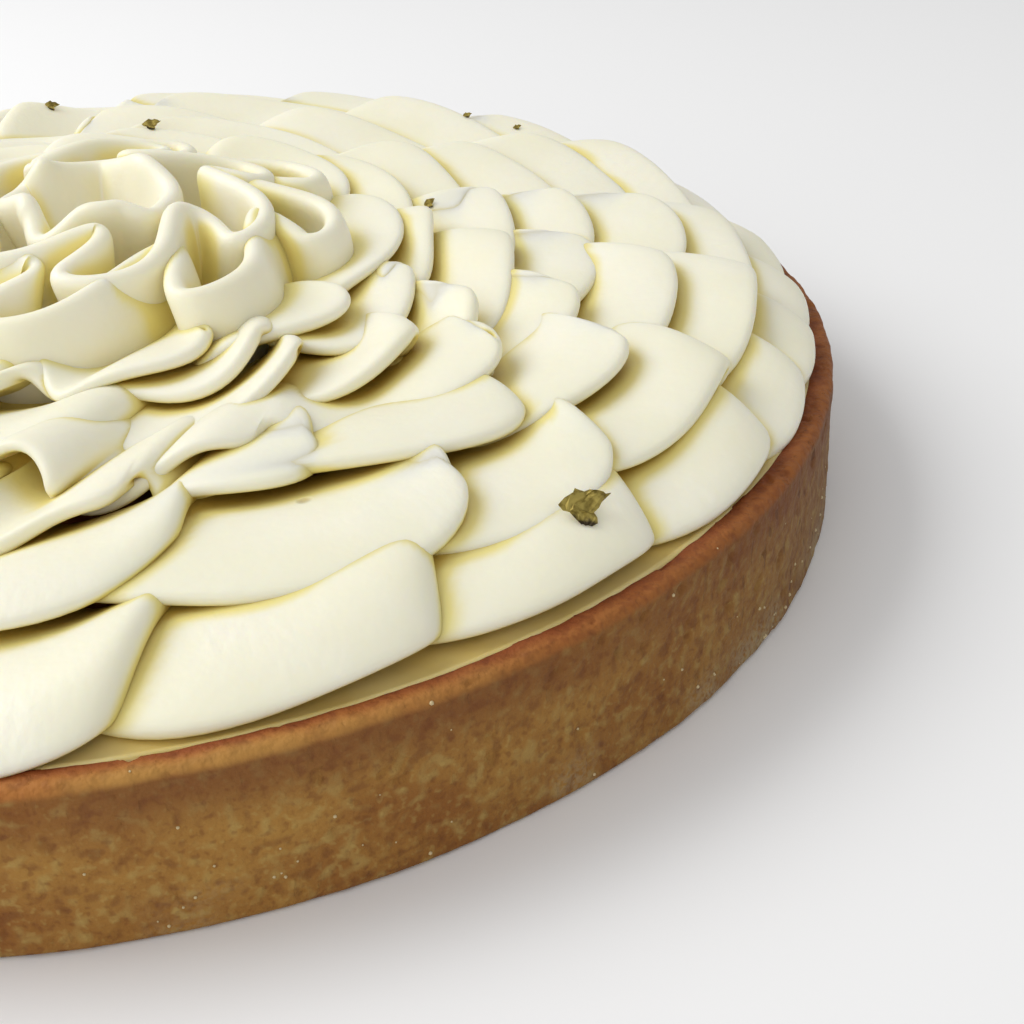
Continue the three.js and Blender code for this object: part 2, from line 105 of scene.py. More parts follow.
# %% Wrap a socket
class Flow:
    """A socket of a node tree that Python can calculate with."""

    def __init__(self, tree, socket=None):
        self.tree = tree
        self.socket = socket

    def node(self, kind, settings=None, sockets=None):
        """Adds a node: its type, its settings, then a value, a flow or a list of flows for each socket."""
        made = self.tree.nodes.new(kind)
        for name, value in (settings or {}).items():
            setattr(made, name, value)
        for key, value in (sockets or {}).items():
            for part in value if isinstance(value, list) else [value]:
                if isinstance(part, Flow):
                    self.tree.links.new(part.socket, made.inputs[key])
                else:
                    made.inputs[key].default_value = part
        shown = [output for output in made.outputs if output.enabled]
        return Flow(self.tree, shown[0] if shown else None)

    def out(self, name):
        return Flow(self.tree, self.socket.node.outputs[name])

    def maths(self, operation, *terms):
        return self.node("ShaderNodeMath", {"operation": operation}, dict(enumerate(terms)))

    def vectors(self, operation, *terms):
        return self.node("ShaderNodeVectorMath", {"operation": operation}, dict(enumerate(terms)))

    def scaled(self, amount):
        return self.node("ShaderNodeVectorMath", {"operation": "SCALE"}, {0: self, 3: amount})

    def __add__(self, other):
        return self.maths("ADD", self, other)

    def __sub__(self, other):
        return self.maths("SUBTRACT", self, other)

    def __rsub__(self, other):
        return self.maths("SUBTRACT", other, self)

    def __mul__(self, other):
        return self.maths("MULTIPLY", self, other)

    def __truediv__(self, other):
        return self.maths("DIVIDE", self, other)

    def __pow__(self, other):
        return self.maths("POWER", self, other)

    __radd__ = __add__
    __rmul__ = __mul__

    def sin(self):
        return self.maths("SINE", self)

    def cos(self):
        return self.maths("COSINE", self)

    def floor(self):
        return self.maths("FLOOR", self)

    def mask(self, low, high):
        """0 up to low, 1 from high, with a soft step between."""
        settings = {"interpolation_type": "SMOOTHSTEP"}
        return self.node("ShaderNodeMapRange", settings, {"Value": self, 1: low, 2: high, 3: 0.0, 4: 1.0})

    def mixed(self, first, second):
        """A colour that goes from first to second with this flow as the factor."""
        return self.node("ShaderNodeMix", {"data_type": "RGBA"}, {0: self, 6: first, 7: second})

# %% [markdown]
# ## Colours
# Colours are read off the photo as a screen shows them. Shaders work with linear light, so a helper
# turns the familiar eight-bit hex value into that. The other helpers do what each finish needs: feed
# the shader, emboss a relief, let light in, and measure noise and the distance from the tart's axis.

# %% Helpers for colours and finishes
def tint(code):
    """A hex colour as the four numbers of linear light that a shader takes."""
    parts = [int(code[i:i + 2], 16) / 255 for i in (1, 3, 5)]
    return tuple(p / 12.92 if p <= 0.04045 else ((p + 0.055) / 1.055) ** 2.4 for p in parts) + (1.0,)


def new_finish(name):
    """A material with its Principled shader, and a flow to build its nodes from."""
    material = bpy.data.materials.new(name)
    material.use_nodes = True
    shader = material.node_tree.nodes["Principled BSDF"]
    return material, shader, Flow(material.node_tree)


def feed(flow, shader, **channels):
    """Links flows to the shader's sockets of these names."""
    for name, value in channels.items():
        flow.tree.links.new(value.socket, shader.inputs[name.replace("_", " ")])


def emboss(flow, shader, relief, strength, distance):
    """Lets a relief tilt the surface, as high as the distance."""
    sockets = {"Strength": strength, "Distance": distance, "Height": relief}
    feed(flow, shader, Normal=flow.node("ShaderNodeBump", None, sockets))


def let_light_in(shader, colour_reach):
    """Lets light travel a few millimetres below the surface, red the furthest."""
    shader.inputs["Subsurface Weight"].default_value = 0.3
    shader.inputs["Subsurface Radius"].default_value = colour_reach
    shader.inputs["Subsurface Scale"].default_value = 2.5 * MM


def noise(where, scale, detail=2.0):
    """Noise from 0 to 1 at a place. The scale says how often it changes in a metre."""
    return where.node("ShaderNodeTexNoise", None, {"Vector": where, "Scale": scale, "Detail": detail})


def from_axis(spread):
    """How far a place lies from the tart's axis."""
    return (spread.out("X") ** 2 + spread.out("Y") ** 2) ** 0.5

# %% [markdown]
# ## Whipped cream
# Whipped cream is a dense foam of fat: ivory white, softly glossy, and light travels some
# millimetres through it. Between two folds light bounces many times and turns butter yellow. That
# glow is painted into the colour: each crease gets a painted yellow glow that fades out over a few
# millimetres, deep in a crease a painted shade turns it darker gold, and the foot of a fold is
# painted yellower than its thin lip. The folds carry two numbers for that, "crease" and "foot",
# which their tree measures. The rosette's walls are thin and lit from both sides, so they are
# painted brighter and more yellow. The skin is nearly smooth, with a few burst bubbles whose pits get
# a painted shade of darker yellow, and on the outer folds the nozzle left faint drag marks. They run
# from root to lip: their noise changes quickly with the direction from the axis and slowly with the
# distance from it.

# %% The finish of the cream
cream, cream_shader, cream_flow = new_finish("whipped_cream")
place = cream_flow.node("ShaderNodeTexCoord").out("Object")
clouds = noise(place, 55.0, 3.0)
skin = noise(place, 900.0, 1.0)
spread = cream_flow.node("ShaderNodeSeparateXYZ", None, {0: place})
radius = from_axis(spread)
DRAG_RADIUS = 95 * MM
DRAG_STRETCH = 0.55
drawn_out = cream_flow.node("ShaderNodeCombineXYZ", None, {
    "X": spread.out("X") / radius * DRAG_RADIUS, "Y": spread.out("Y") / radius * DRAG_RADIUS,
    "Z": radius * DRAG_STRETCH})
drags = noise(drawn_out, 640.0)
bubbles = cream_flow.node("ShaderNodeTexVoronoi", None, {"Vector": place, "Scale": 60.0})
burst = cream_flow.node("ShaderNodeSeparateColor", None, {0: bubbles.out("Color")}).mask(0.86, 0.87)
pits = (1 - bubbles.out("Distance").mask(0.03, 0.07)) * burst
crease = cream_flow.node("ShaderNodeAttribute", {"attribute_name": "crease"}).out("Fac")
ivory = clouds.mask(0.35, 0.65).mixed(tint("#f1edd4"), tint("#f4f0dc"))
foot = cream_flow.node("ShaderNodeAttribute", {"attribute_name": "foot"}).out("Fac")
# Painted light: the rosette's walls are painted brighter, as walls lit from both sides, and the foot of a
# fold yellower, as glow.
ring_place = radius.mask(26 * MM, 44 * MM)
foot_share = foot * (1.4 - 0.6 * ring_place)
soft_yellow = foot_share.mixed(ivory, ring_place.mixed(tint("#f4eaa6"), tint("#ebe2ab")))
# Painted glow and shade: a crease turns yellow where other cream is near, and deep in it a painted shade
# turns it darker gold.
butter = ring_place.mixed(tint("#f2e69c"), tint("#ebdc8c"))
crease_glow = crease.mask(0.04, 0.34).mixed(soft_yellow, butter)
deep_crease_shade = crease.mask(0.32, 0.75) * (0.25 + 0.75 * ring_place)
golden = deep_crease_shade.mixed(crease_glow, tint("#bfa24a"))
# The pits of burst bubbles get a painted shade, a darker yellow.
feed(cream_flow, cream_shader, Base_Color=(pits * 0.6).mixed(golden, tint("#c2a860")))
feed(cream_flow, cream_shader, Roughness=0.36 + drags * 0.16)
dragged = radius.mask(66 * MM, 86 * MM) * (0.12 + 0.5 * clouds.mask(0.44, 0.6))
relief = drags * dragged + skin * 0.25 + clouds * 0.4 - pits * 1.6
emboss(cream_flow, cream_shader, relief, 0.4, 0.5 * MM)
let_light_in(cream_shader, (1.0, 0.8, 0.4))
print("cream finish has", len(cream.node_tree.nodes), "nodes")

# %% [markdown]
# ## Geometry trees
# The folds, the crust and the grains are all grown by Geometry Nodes. Each tree is built here in
# the script, with named inputs for its sizes. After it has run, the plain mesh is kept and the
# modifier is removed.

# %% Helpers that build a tree and grow a piece from it
SOCKETS = {
    "Number": "NodeSocketFloat", "Count": "NodeSocketInt", "Vector": "NodeSocketVector",
    "Geometry": "NodeSocketGeometry", "Material": "NodeSocketMaterial", "Object": "NodeSocketObject",
}


def new_tree(name, inputs, outputs):
    """A geometry tree with named sockets. Gives the tree, its inputs as flows, and its end node."""
    tree = bpy.data.node_groups.new(name, "GeometryNodeTree")
    for direction, sockets in (("INPUT", inputs), ("OUTPUT", outputs)):
        for label, kind in sockets.items():
            tree.interface.new_socket(name=label, in_out=direction, socket_type=SOCKETS[kind])
    start = tree.nodes.new("NodeGroupInput")
    given = {label: Flow(tree, start.outputs[label]) for label in inputs}
    return tree, given, tree.nodes.new("NodeGroupOutput")


def finish_tree(tree, end, geometry, material):
    """Ends a tree in Realize Instances, smooth shading and Set Material."""
    whole = geometry.node("GeometryNodeRealizeInstances", None, {"Geometry": geometry})
    smooth = whole.node("GeometryNodeSetShadeSmooth", None, {"Geometry": whole})
    dressed = smooth.node("GeometryNodeSetMaterial", None, {"Geometry": smooth, "Material": material})
    tree.links.new(dressed.socket, end.inputs["Geometry"])


def grow(name, tree, sizes, mesh=None):
    """Runs a tree with these sizes and keeps the mesh that it makes."""
    piece = bpy.data.objects.new(name, mesh or bpy.data.meshes.new(name))
    bpy.context.scene.collection.objects.link(piece)
    modifier = piece.modifiers.new("Growth", "NODES")
    modifier.node_group = tree
    for label, value in sizes.items():
        modifier[tree.interface.items_tree[label].identifier] = value
    graph = bpy.context.evaluated_depsgraph_get()
    grown = bpy.data.meshes.new_from_object(piece.evaluated_get(graph), depsgraph=graph)
    piece.modifiers.remove(modifier)
    piece.data = grown
    grown.name = name
    print(f"{name}: {len(grown.polygons)} faces")
    return piece

# %% [markdown]
# ## An uneven hand
# No two folds are alike. The list of folds below says where each crest stands, how far it leans over
# and how far its lip draws in. On top of that a closed wobble, a sum of three sines that fit whole
# turns of the ring, makes the lip flutter. It is a rule and not a random draw, so the solid under the
# cream has the same folds. A finer wobble ripples the lips of the visible cream alone.

# %% A tree for the wobble
wobble_tree, given, end = new_tree(
    "Wobble", {"Turn": "Number", "Folds": "Number", "Seed": "Number"}, {"Value": "Number"})
total = 0.0
for i, share in enumerate((0.27, 0.41, 0.67)):
    order = 1 + (share * given["Folds"]).floor() + given["Seed"].maths("MODULO", given["Seed"] + i, 2.0)
    angle = TAU * order * given["Turn"] / given["Folds"] + given["Seed"] * (1.3 + 1.7 * i) + i
    total = angle.sin() + total
wobble_tree.links.new((total / 2).socket, end.inputs["Value"])


def wobble(turn, folds, seed):
    """The wobble of a ring with so many folds, mostly between -1 and 1."""
    sockets = {"Turn": turn, "Folds": folds, "Seed": seed}
    return turn.node("GeometryNodeGroup", {"node_tree": wobble_tree}, sockets)

# %% [markdown]
# ## One place on a ribbon
# A petal nozzle lays down a ribbon. Its root sticks to the cream below, its lip is free, and as the
# hand swings back and forth the lip makes waves that break over the next fold. The tree below gives
# the middle of the ribbon for a turn, counted in folds, and a place across it, from 0 at the root
# to 1 at the lip. Sizes are in millimetres and degrees here, as on a ruler and a protractor. The list
# of folds comes in as loose points, one for each fold: its x is the angle of the crest, its y how far
# the crest leans over, and its z how far the lip draws in. A smooth curve runs through all of them.

# %% Start the tree for the middle of a ribbon
FRONT = 268
FRONT_NARROW = 10
RIPPLED = 255
RIBBON_SIZES = [
    "Folds", "Seed", "Neck", "Full", "Reach phase", "Lag", "Front", "Root reach", "Root fold", "Lean",
    "Flutter", "Edge", "Root", "Middle out", "Edge up", "Middle up", "Root up", "Edge lift",
    "Middle lift", "Root lift", "Far rise", "Ripple", "Near ripple",
]
ribbon_inputs = {"Fold list": "Geometry", "Turn": "Number", "Across": "Number"}
ribbon_inputs |= {size: "Number" for size in RIBBON_SIZES}
point_tree, size, end = new_tree("Ribbon point", ribbon_inputs, {"Point": "Vector"})
turn, across, folds, seed = size["Turn"], size["Across"], size["Folds"], size["Seed"]
whole = turn.floor()
part = turn - whole


def fold_at(step):
    """The values of the fold so many folds further on. Past a full turn the angle has 360 more."""
    number = whole + step
    turns = (number / folds).floor()
    listed = number.node("GeometryNodeSampleIndex", {"data_type": "FLOAT_VECTOR", "domain": "POINT"}, {
        "Geometry": size["Fold list"], "Value": number.node("GeometryNodeInputPosition"),
        "Index": number - folds * turns})
    return listed.vectors("ADD", listed, listed.node("ShaderNodeCombineXYZ", None, {0: 360 * turns}))


square = part * part
cube = square * part
smooth = fold_at(-1).scaled(0.5 * (2 * square - part - cube))
for step, share in ((0, 2 - 5 * square + 3 * cube), (1, part + 4 * square - 3 * cube), (2, cube - square)):
    smooth = smooth.vectors("ADD", smooth, fold_at(step).scaled(0.5 * share))
values = smooth.node("ShaderNodeSeparateXYZ", None, {0: smooth})
base, swing, reach = values.out("X"), values.out("Y"), values.out("Z")

# %% Finish the tree for the middle of a ribbon
phase = TAU * part
grow_out = size["Root fold"] + (1 - size["Root fold"]) * across ** 1.2
sway = swing * phase.sin() + size["Neck"] * (2 * phase).sin()
angle = (base - grow_out * sway + size["Lean"] * (1 - across)) * math.radians(1)
near = (0.5 + 0.5 * (angle - math.radians(FRONT)).cos()) ** FRONT_NARROW
wave = 0.5 + 0.5 * (phase - size["Reach phase"] + size["Lag"] * near).cos()
drawn_in = reach * (wave + size["Full"] * (wave * wave * (3 - 2 * wave) - wave))
crest = -1.0 * phase.sin()
set_in = size["Front"] * near
widely_near = (0.5 + 0.5 * (angle - math.radians(RIPPLED)).cos()) ** 3
ripple = (size["Ripple"] + size["Near ripple"] * widely_near) * wobble(3 * turn, 3 * folds, seed + 11)
flutter = size["Flutter"] * wobble(2 * turn, 2 * folds, seed + 6)
edge = size["Edge"] - drawn_in + 0.7 * flutter + ripple - set_in
root = size["Root"] - size["Root reach"] * drawn_in - set_in
middle = 0.5 * (edge + root) + size["Middle out"]
lip_sway = size["Flutter"] * wobble(2 * turn, 2 * folds, seed + 7)
edge_up = size["Edge up"] + size["Edge lift"] * crest + lip_sway - 0.6 * ripple
root_up = size["Root up"] + size["Root lift"] * crest
middle_up = size["Middle up"] + size["Middle lift"] * crest
near_root = (1 - across) * (1 - across)
near_middle = 2 * across * (1 - across)
near_edge = across * across
radius = near_root * root + near_middle * middle + near_edge * edge
far_rise = size["Far rise"] * across * (0.5 + 0.5 * angle.sin()) ** 2
up = near_root * root_up + near_middle * middle_up + near_edge * edge_up + far_rise
point = radius.node("ShaderNodeCombineXYZ", None, {0: radius * angle.cos(), 1: radius * angle.sin(), 2: up})
point_tree.links.new(point.socket, end.inputs["Point"])
print("a ribbon point takes", len(point_tree.nodes), "nodes")

# %% [markdown]
# ## A whole ring
# A flat grid is the raw material: one way it follows the ring, the other way it goes round the
# ribbon's cross-section, along the underside, over the round lip and back along the top. The
# surface's own directions come from points a little further on, and the thickness is laid out
# along the normal. The open seams of the grid meet themselves, so merging by distance closes them.
# Then the cream swells a little here and there, and it settles: each point moves towards its
# neighbours, so the lip goes round and thin, also where the ribbon turns sharply.

# %% A tree for a ring of folds
LIP_SHARE = 0.16
ROOT_SHARE = 0.04
SEAM = 0.004 * MM
ring_inputs = {"Geometry": "Geometry", **{size: "Number" for size in RIBBON_SIZES}}
ring_inputs |= {"Root thickness": "Number", "Lip thickness": "Number", "Steps": "Number", "Rows": "Count"}
ring_inputs |= {"Rim height": "Number", "Above": "Object", "Material": "Material"}
ring_tree, size, end = new_tree("Piped ring", ring_inputs, {"Geometry": "Geometry"})
columns = size["Folds"] * size["Steps"] + 1
grid = columns.node("GeometryNodeMeshGrid", None, {0: 1.0, 1: 1.0, 2: columns, 3: size["Rows"]})
flat = grid.node("ShaderNodeSeparateXYZ", None, {0: grid.node("GeometryNodeInputPosition")})
turn = (flat.out("X") + 0.5) * size["Folds"]
round_way = 0.5 - flat.out("Y")
from_lip = round_way - 0.5
from_end = 0.5 - from_lip.maths("ABSOLUTE", from_lip)
top_share = 0.5 - 0.5 * LIP_SHARE
across = from_end.maths("MINIMUM", from_end / top_share, 1.0)
past_lip = from_lip / LIP_SHARE + 0.5
lip_angle = math.pi * past_lip.node("ShaderNodeClamp", None, {0: past_lip, 1: 0.0, 2: 1.0})
root_close = from_end.maths("MINIMUM", from_end / ROOT_SHARE, 1.0)


def ribbon_point(turn, across):
    """The middle of this ring's ribbon, in millimetres."""
    sockets = {"Fold list": size["Geometry"], "Turn": turn, "Across": across}
    sockets |= {name: size[name] for name in RIBBON_SIZES}
    return turn.node("GeometryNodeGroup", {"node_tree": point_tree}, sockets)


STEP = 0.004
here = ribbon_point(turn, across)
ahead = ribbon_point(turn + STEP, across)
behind = ribbon_point(turn - STEP, across)
inwards = ribbon_point(turn, across - STEP)
along = here.vectors("SUBTRACT", ahead, behind)
outwards = here.vectors("NORMALIZE", here.vectors("SUBTRACT", here, inwards))
normal = here.vectors("NORMALIZE", here.vectors("CROSS_PRODUCT", outwards, along))
half = 0.5 * (size["Root thickness"] + (size["Lip thickness"] - size["Root thickness"]) * across)
skin = here.vectors("ADD", here, normal.scaled(half * lip_angle.cos() * root_close))
skin = here.vectors("ADD", skin, outwards.scaled(half * lip_angle.sin()))
skin = here.vectors("ADD", skin, here.node("ShaderNodeCombineXYZ", None, {2: size["Rim height"]}))
placed = grid.node("GeometryNodeSetPosition", None, {"Geometry": grid, "Position": skin.scaled(MM)})
footed = placed.node("GeometryNodeStoreNamedAttribute", {"data_type": "FLOAT", "domain": "POINT"},
                     {"Geometry": placed, "Name": "foot", "Value": 1 - across.mask(0.4, 0.97)})
closed = footed.node("GeometryNodeMergeByDistance", None, {"Geometry": footed, "Distance": SEAM})
spot = closed.node("GeometryNodeInputPosition")
SWELL = 0.9 * MM
swell = closed.node("GeometryNodeInputNormal").scaled((noise(spot, 70.0, 1.0) - 0.5) * SWELL)
swollen = closed.node("GeometryNodeSetPosition", None, {"Geometry": closed, "Offset": swell})
SETTLING = 4
spot = swollen.node("GeometryNodeInputPosition")
settled = spot.node("GeometryNodeBlurAttribute", {"data_type": "FLOAT_VECTOR"}, {
    "Value": spot, "Iterations": SETTLING})
lively = swollen.node("GeometryNodeSetPosition", None, {"Geometry": swollen, "Position": settled})

# %% [markdown]
# A crease is a place that looks at other cream close by. So five rays leave every point: one
# straight out and four aslant. Each counts the more, the sooner it meets the ring itself or the one
# that lies over it. Their mean is the number that the finish reads, smoothed a little. The underside of
# a lip always looks at cream, so it gets its share without a ray.

# %% Measure the creases
CREASE_REACH = 9 * MM
CREASE_START = 0.3 * MM
over = lively.node("GeometryNodeObjectInfo", None, {"Object": size["Above"]}).out("Geometry")
all_round = lively.node("GeometryNodeJoinGeometry", None, {"Geometry": [lively, over]})
spot = lively.node("GeometryNodeInputPosition")
normal = lively.node("GeometryNodeInputNormal")
level = normal.vectors("NORMALIZE", normal.vectors("CROSS_PRODUCT", normal, (0.1, 0.2, 1.0)))
steep = normal.vectors("CROSS_PRODUCT", normal, level)
start = normal.vectors("ADD", spot, normal.scaled(CREASE_START))
crease = 0.0
for aside, ahead in ((0, 0), (1, 0), (-1, 0), (0, 1), (0, -1)):
    slant = normal.vectors("ADD", level.scaled(float(aside)), steep.scaled(float(ahead)))
    ray = normal.node("GeometryNodeRaycast", None, {
        "Target Geometry": all_round, "Source Position": start,
        "Ray Direction": normal.vectors("ADD", normal, slant), "Ray Length": CREASE_REACH})
    crease = 1 / 5 * ray.out("Is Hit") * (1 - ray.out("Hit Distance") / CREASE_REACH) + crease
facing = lively.node("ShaderNodeSeparateXYZ", None, {0: normal})
UNDERSIDE_SHARE = 0.4
crease = crease + UNDERSIDE_SHARE * (1 - facing.out("Z").mask(-0.9, -0.3))
soft = crease.node("GeometryNodeBlurAttribute", {"data_type": "FLOAT"}, {"Value": crease, "Iterations": 3})
named = lively.node("GeometryNodeStoreNamedAttribute", {"data_type": "FLOAT", "domain": "POINT"},
                    {"Geometry": lively, "Name": "crease", "Value": soft})
finish_tree(ring_tree, end, named, size["Material"])

# %% [markdown]
# ## From the middle outwards
# A ring's tree wants to know the ring that lies over it, so the lesson pipes from the middle
# outwards, though the hand went the other way. The folds that the photo shows are listed one by
# one, as angle, lean and draw. The rest of each ring is closed with folds of a steady rhythm. The
# solid has the same lists. It differs in a few sizes only: it has no ripple, its rosette has thinner
# lips and a higher back, and its widest lip ends a little earlier.

# %% Fill up a ring and pipe it
def whole_ring(folds, more, seed):
    """The listed folds, then the steady ones that close the ring."""
    first, last = folds[0], folds[-1]
    swing, reach = (sum(fold[k] for fold in folds) / len(folds) for k in (1, 2))
    gap = first[0] + 360 - last[0]
    steady = []
    for k in range(more):
        vary = math.sin(2.4 * k + seed)
        other = math.sin(1.7 * k + 2 * seed)
        share = (k + 1 + 0.12 * vary) / (more + 1)
        steady.append((last[0] + gap * share, swing * (1 + 0.3 * other), reach * (1 + 0.2 * vary)))
    return folds + steady


def pipe(name, ring, steps, rows, above):
    """Pipes one ring under the one that lies over it."""
    folds = whole_ring(ring["List"], ring["More"], ring["Seed"])
    listed = bpy.data.meshes.new(name)
    listed.from_pydata(folds, [], [])
    sizes = {label: float(value) for label, value in ring.items() if label not in ("List", "More")}
    sizes |= {"Folds": float(len(folds)), "Steps": float(steps), "Rows": rows, "Rim height": RIM / MM}
    if above:
        sizes["Above"] = above
    return grow(name, ring_tree, {**sizes, "Material": cream}, listed)


ROWS = 47


def pipe_outwards(name, rings, steps, above):
    """Pipes a list of rings from the last to the first, each under the one before."""
    made = []
    for i in reversed(range(len(rings))):
        above = pipe(f"{name}_{i + 1}", rings[i], steps, ROWS, above)
        made.append(above)
    return made

# %% [markdown]
# ## The rosette
# In the middle the nozzle stood upright and made three walls, one inside the other, that wind in
# and out like a carnation. They use the same tree, with a neck that narrows each lobe behind its
# head, a thicker root and no slant.

# %% Pipe the rosette
STANDING = {
    "Lean": 0, "Neck": 2.5, "Full": 0, "Reach phase": -1.4, "Lag": 0, "Front": 0, "Root reach": 0.4,
    "Root fold": 0.5, "Middle out": 6, "Root thickness": 4.4, "Lip thickness": 3.1, "Flutter": 0.6,
    "Edge lift": 1.2, "Middle lift": 0.5, "Root lift": 0.5, "Far rise": 1.5, "Ripple": 0.4,
    "Near ripple": 0.4,
}
ROSETTE = [
    {**STANDING, "Seed": 8, "Edge": 32.5, "Root": 27, "Edge up": 18, "Middle up": 10, "Root up": 3,
     "More": 4, "List": [(242, 11, 12), (292, 14, 15), (332, 6, 8), (372, 10, 12)]},
    {**STANDING, "Seed": 9, "Edge": 25, "Root": 17, "Edge up": 20, "Middle up": 12, "Root up": 4,
     "Neck": 3, "Middle out": 3, "More": 4, "List": [(264, 16, 11), (318, 10, 8), (372, 12, 9)]},
    {**STANDING, "Seed": 10, "Edge": 11.5, "Root": 6, "Edge up": 21.5, "Middle up": 12, "Root up": 12,
     "Neck": 0, "Middle out": 0, "Root reach": 0.2, "Flutter": 0.5, "Edge lift": 1, "Middle lift": 0,
     "More": 2, "List": [(300, 5, 2), (420, 5, 2)]},
]
cream_pieces = pipe_outwards("rosette_wall", ROSETTE, steps=90, above=None)

# %% [markdown]
# ## Seven rings of folds
# The widest ring lies flat and reaches to the rim. Each next ring is smaller, has fewer folds and
# lies over the one outside it.

# %% Pipe the seven rings
LYING = {
    "Lean": 15, "Neck": 0, "Full": 0.6, "Reach phase": 0.3, "Lag": 0.8, "Front": 0, "Root reach": 0.3,
    "Root fold": 0.15, "Middle out": 0, "Root thickness": 3.4, "Lip thickness": 2, "Flutter": 0.9,
    "Edge lift": 1.8, "Middle lift": 2, "Root lift": 0.5, "Far rise": 5, "Ripple": 0.8,
    "Near ripple": 1.4,
}
RINGS = [
    {**LYING, "Seed": 1, "Edge": 96.8, "Root": 74, "Edge up": 1.1, "Middle up": 7.5, "Root up": 0.5,
     "Lean": 10, "Front": 0.8, "Reach phase": 0.4, "Lag": 0, "Edge lift": 0.6, "Middle lift": 2.2,
     "Flutter": 0.3, "Ripple": 0.3, "Near ripple": 0.9, "More": 17,
     "List": [(264, 5.5, 8), (284, 6, 8), (301.5, 5, 7), (317.5, 5, 7), (328.5, 4, 7), (337, 4, 7),
              (347, 4.5, 7), (359, 4.5, 7)]},
    {**LYING, "Seed": 2, "Edge": 90, "Root": 64, "Edge up": 6, "Middle up": 8.5, "Root up": 2,
     "Lean": 13, "Front": 8, "Edge lift": 1.6, "Flutter": 0.7, "More": 12,
     "List": [(268, 9, 13), (290.5, 8.5, 10), (304.5, 5, 4), (322.5, 5, 4), (341, 6, 5), (356, 6, 6)]},
    {**LYING, "Seed": 3, "Edge": 80, "Root": 55, "Edge up": 8, "Middle up": 9.5, "Root up": 3,
     "Front": 15, "More": 9,
     "List": [(252, 5, 4), (271, 1, 5), (281, 11, 8), (304, 7, 7), (319, 6, 4), (341, 6, 5), (358, 6, 5)]},
    {**LYING, "Seed": 4, "Edge": 67.5, "Root": 45, "Edge up": 9, "Middle up": 10, "Root up": 3.5,
     "Front": 8, "More": 8,
     "List": [(261, 4, 1), (286, 1.5, 4), (315, 6, 5), (331, 5, 4), (346, 7, 5), (359, 7, 5)]},
    {**LYING, "Seed": 5, "Edge": 57, "Root": 36, "Edge up": 10, "Middle up": 10.5, "Root up": 4,
     "Lean": 16, "Front": 5, "More": 6,
     "List": [(265, 6, 4), (295, 9, 14), (310, 4, 5), (323, 6, 5), (346, 8, 5), (362, 8, 5)]},
    {**LYING, "Seed": 6, "Edge": 46, "Root": 26, "Edge up": 11.5, "Middle up": 10.5, "Root up": 4.5,
     "Lean": 16, "Front": 2, "Middle lift": 1.8, "More": 5,
     "List": [(256, 3, 8), (298, 5, 6), (331, 9, 4), (358, 7, 4)]},
    {**LYING, "Seed": 7, "Edge": 41, "Root": 20, "Edge up": 12.5, "Middle up": 11, "Root up": 5,
     "Lean": 10, "Edge lift": 1.4, "Middle lift": 1.5, "Flutter": 0.8, "More": 5,
     "List": [(253, 3, 5), (286, 9, 7), (318, 8, 5)]},
]
cream_pieces += pipe_outwards("ring", RINGS, steps=44, above=cream_pieces[-1])

# %% [markdown]
# ## Turned pieces
# The shell, the filling, the lemon cream and the heap under the folds are all round. A profile is
# drawn once as a line of points, and a tree turns it round the axis: every row of its grid takes
# one point of the profile. Noise along the normal then makes it as uneven as baked dough, but for
# the inside, within the quiet radius, and the foot, which has to stand flat.

# %% A tree that turns a profile
turned_inputs = {"Geometry": "Geometry", "Around": "Count", "Rows": "Count", "Broad": "Number"}
turned_inputs |= {"Crumb": "Number", "Quiet radius": "Number", "Material": "Material"}
turned_tree, size, end = new_tree("Turned", turned_inputs, {"Geometry": "Geometry"})
around = size["Around"]
grid = around.node("GeometryNodeMeshGrid", None, {0: 1.0, 1: 1.0, 2: around, 3: size["Rows"]})
flat = grid.node("ShaderNodeSeparateXYZ", None, {0: grid.node("GeometryNodeInputPosition")})
angle = (flat.out("X") + 0.5) * TAU
row = (flat.out("Y") + 0.5) * (size["Rows"] - 1)
profile = grid.node("GeometryNodeInputPosition")
outline = grid.node("GeometryNodeSampleIndex", {"data_type": "FLOAT_VECTOR", "domain": "POINT"},
                    {"Geometry": size["Geometry"], "Value": profile, "Index": row.maths("ROUND", row)})
line = grid.node("ShaderNodeSeparateXYZ", None, {0: outline})
spun = grid.node("ShaderNodeCombineXYZ", None, {
    0: line.out("X") * angle.cos(), 1: line.out("X") * angle.sin(), 2: line.out("Z")})
turned = grid.node("GeometryNodeSetPosition", None, {"Geometry": grid, "Position": spun})
closed = turned.node("GeometryNodeMergeByDistance", None, {"Geometry": turned, "Distance": SEAM / 2})
spot = closed.node("GeometryNodeInputPosition")
spread = closed.node("ShaderNodeSeparateXYZ", None, {0: spot})
quiet = size["Quiet radius"]
wide = from_axis(spread).mask(quiet, quiet + 2 * MM) * spread.out("Z").mask(0.0, 0.7 * MM)
broad = noise(spot, 45.0) - 0.5
lumps = noise(spot, 260.0, 3.0) - 0.5
holes = noise(spot, 330.0, 1.0).mask(0.66, 0.74)
offset = size["Broad"] * broad + size["Crumb"] * (1.6 * lumps - holes)
push = closed.node("GeometryNodeInputNormal").scaled(offset * wide)
rough = closed.node("GeometryNodeSetPosition", None, {"Geometry": closed, "Offset": push})
finish_tree(turned_tree, end, rough, size["Material"])


def profile_mesh(name, points):
    """A line of points (radius, height) as a mesh that the tree can read."""
    mesh = bpy.data.meshes.new(name)
    line = [(radius, 0.0, height) for radius, height in points]
    mesh.from_pydata(line, [(i, i + 1) for i in range(len(line) - 1)], [])
    return mesh


def arc(centre_radius, centre_height, size, start, stop, steps=6):
    """Points of a rounded corner, from one angle in degrees to another."""
    angles = np.radians(np.linspace(start, stop, steps + 1))
    return [(centre_radius + size * math.cos(a), centre_height + size * math.sin(a)) for a in angles]


